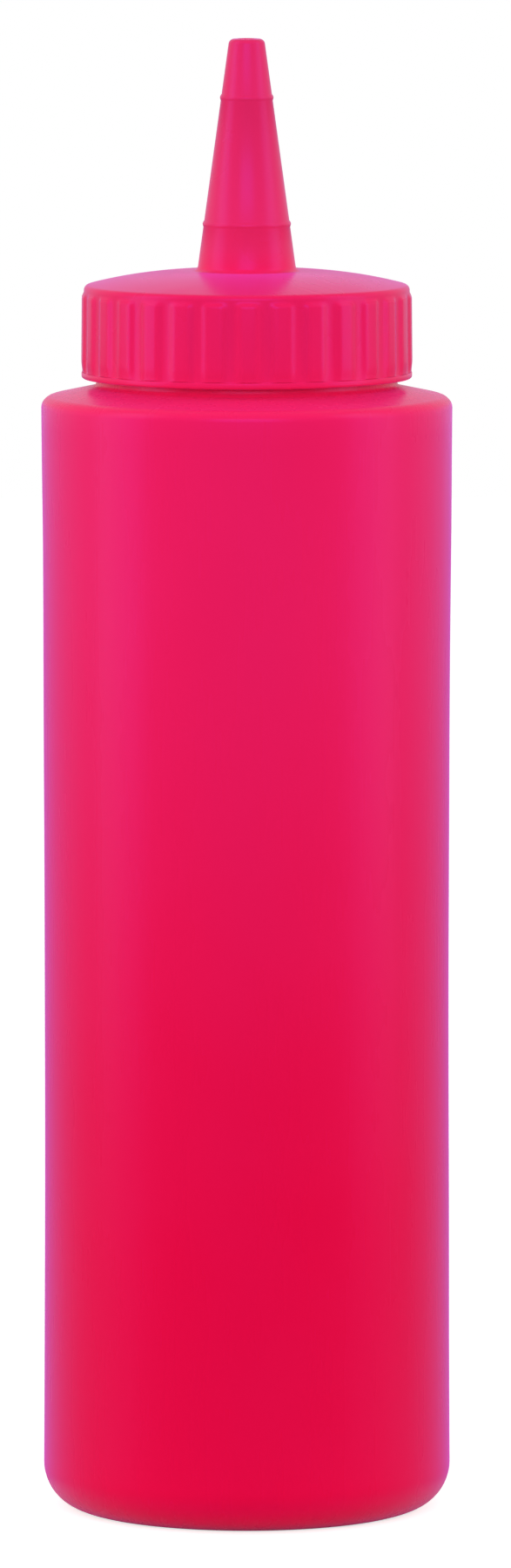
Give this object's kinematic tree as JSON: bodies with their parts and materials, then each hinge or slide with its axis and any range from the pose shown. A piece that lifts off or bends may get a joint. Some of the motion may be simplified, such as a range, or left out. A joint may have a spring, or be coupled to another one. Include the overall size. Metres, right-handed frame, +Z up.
{
  "type": "squeeze bottle",
  "caption": "Round upright squeeze bottle for sauce with a screw-on ribbed cap and a tall cone nozzle, in crimson plastic.",
  "frame": {"origin": "middle of the flat ring that the bottle stands on", "axes": "+Z up along the bottle's axis to the nozzle's tip; -Y is the front, +X to the right seen from the front"},
  "size_m": [0.0508, 0.0508, 0.1829],
  "materials": {
    "bottle_plastic": "semi-gloss blow-moulded crimson plastic, slightly translucent",
    "cap_plastic": "glossy injection-moulded crimson plastic"
  },
  "bodies": {
    "root": {"bottle": "bottle_plastic", "cap": "cap_plastic"}
  },
  "joints": []
}
